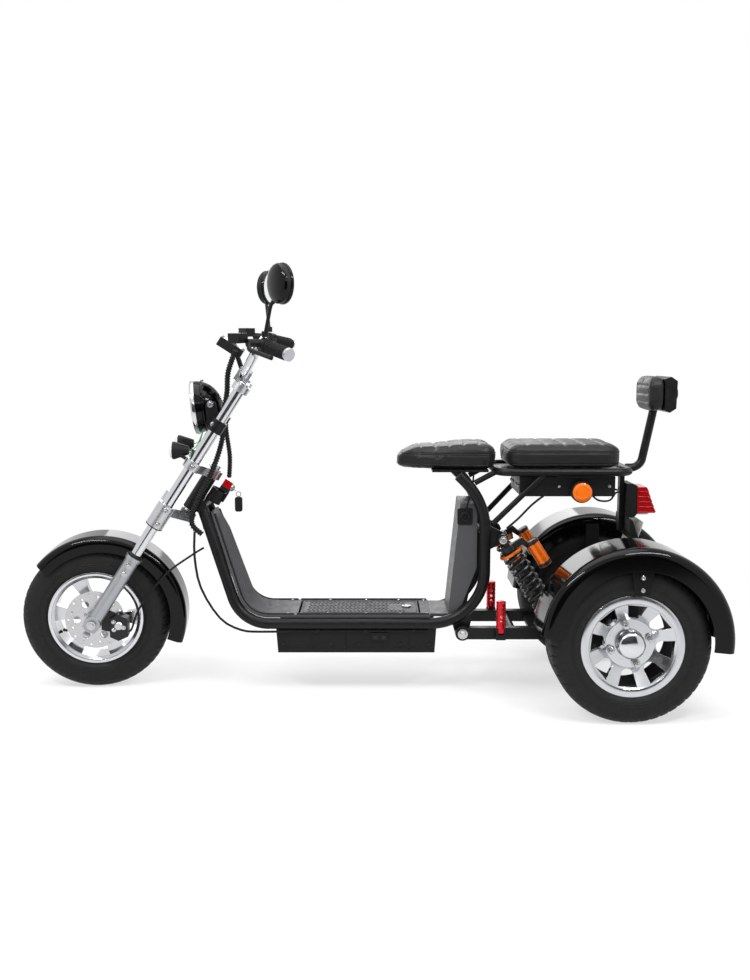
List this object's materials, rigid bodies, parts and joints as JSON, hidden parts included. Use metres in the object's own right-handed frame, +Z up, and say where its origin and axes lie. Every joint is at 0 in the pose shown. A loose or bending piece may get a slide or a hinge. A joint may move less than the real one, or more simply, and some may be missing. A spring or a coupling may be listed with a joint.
{
  "type": "three-wheeled electric scooter",
  "caption": "Electric scooter with a raked single front wheel, twin fat rear wheels under gloss fenders, a flat step-through floor, rider and passenger seats and a padded backrest.",
  "frame": {"origin": "middle of the bounding box on the ground", "axes": "+X forward, +Y to the rider's left, +Z up"},
  "size_m": [1.9963, 0.782, 1.2446],
  "materials": {
    "frame_black": "satin black paint",
    "panel_grey": "moulded grey plastic",
    "box_black": "black moulded plastic",
    "battery_blue": "shrink wrapped pack",
    "seat_cover": "black sewn cover",
    "amber_lens": "amber lens",
    "red_lens": "red lens",
    "dark_metal": "dark coated metal",
    "orange_metal": "orange coated metal",
    "fender_black": "gloss black",
    "red_anodised": "red anodised",
    "rubber_black": "black rubber",
    "bright_chrome": "bright plating",
    "alloy": "silver alloy",
    "mirror_glass": "mirror",
    "clear_glass": "clear lens",
    "steel": "turned steel",
    "tyre": "road tyre"
  },
  "bodies": {
    "chassis": {"frame": "frame_black", "leg_panel": "panel_grey", "floor_panel": "panel_grey", "seat_riser": "panel_grey", "battery_box": "box_black", "battery": "battery_blue", "driver_seat": "seat_cover", "rear_rack": "frame_black", "passenger_seat": "seat_cover", "controller_box": "box_black", "marker_lenses": "amber_lens", "tail_bracket": "box_black", "tail_lamp": "red_lens", "backrest_frame": "frame_black", "backrest_pad": "seat_cover", "swingarm": "frame_black", "shock_dampers": "dark_metal", "shock_springs": "dark_metal", "shock_reservoirs": "orange_metal", "rear_axle": "frame_black", "motor": "dark_metal", "rear_fenders": "fender_black", "fender_stays": "frame_black", "charge_port": "box_black", "key_switch": "red_lens", "steering_looms": "rubber_black", "brake_hose": "rubber_black", "side_cable": "rubber_black"},
    "hatch": {"floor_hatch": "panel_grey"},
    "peg_left": {"footpeg_left": "red_anodised"},
    "peg_right": {"footpeg_right": "red_anodised"},
    "steering": {"fork_tubes": "bright_chrome", "fork_legs": "alloy", "lower_yoke": "alloy", "upper_yoke": "alloy", "bar_yoke": "alloy", "handlebar": "bright_chrome", "grips": "rubber_black", "levers": "box_black", "mirrors": "box_black", "mirror_glass": "mirror_glass", "display": "box_black", "headlamp_bracket": "frame_black", "headlamp_shell": "fender_black", "headlamp_ring": "bright_chrome", "headlamp_glass": "clear_glass", "indicators": "box_black", "front_fender": "fender_black", "front_axle": "steel", "brake_caliper": "dark_metal"},
    "front_wheel": {"front_rim": "alloy", "front_tyre": "tyre", "brake_disc": "steel"},
    "rear_wheel_left": {"rear_hub_left": "bright_chrome", "rear_rim_left": "alloy", "rear_tyre_left": "tyre"},
    "rear_wheel_right": {"rear_hub_right": "bright_chrome", "rear_rim_right": "alloy", "rear_tyre_right": "tyre"}
  },
  "joints": [
    {"name": "steer", "type": "hinge", "parent": "chassis", "child": "steering", "pos_m": [0.4767, 0, 0.5765], "axis": [-0.5446, 0, 0.8387], "range_deg": [-45, 35], "deforming": ["steering_looms", "brake_hose"]},
    {"name": "front_wheel_spin", "type": "hinge", "parent": "steering", "child": "front_wheel", "pos_m": [0.78281, 0.00523, 0.21488], "axis": [-0.0731, 0.9962, -0.0475], "continuous": true},
    {"name": "rear_wheel_left_spin", "type": "hinge", "parent": "chassis", "child": "rear_wheel_left", "pos_m": [-0.729, 0.292, 0.215], "axis": [0, 1, 0], "continuous": true},
    {"name": "rear_wheel_right_spin", "type": "hinge", "parent": "chassis", "child": "rear_wheel_right", "pos_m": [-0.729, -0.292, 0.215], "axis": [0, 1, 0], "continuous": true},
    {"name": "hatch_hinge", "type": "hinge", "parent": "chassis", "child": "hatch", "pos_m": [0.1715, 0, 0.2318], "axis": [0, 1, 0], "range_deg": [0, 95]},
    {"name": "peg_left_fold", "type": "hinge", "parent": "chassis", "child": "peg_left", "pos_m": [-0.405, 0.133, 0.196], "axis": [-1, 0, 0], "range_deg": [0, 90]},
    {"name": "peg_right_fold", "type": "hinge", "parent": "chassis", "child": "peg_right", "pos_m": [-0.405, -0.133, 0.196], "axis": [1, 0, 0], "range_deg": [0, 90]}
  ]
}
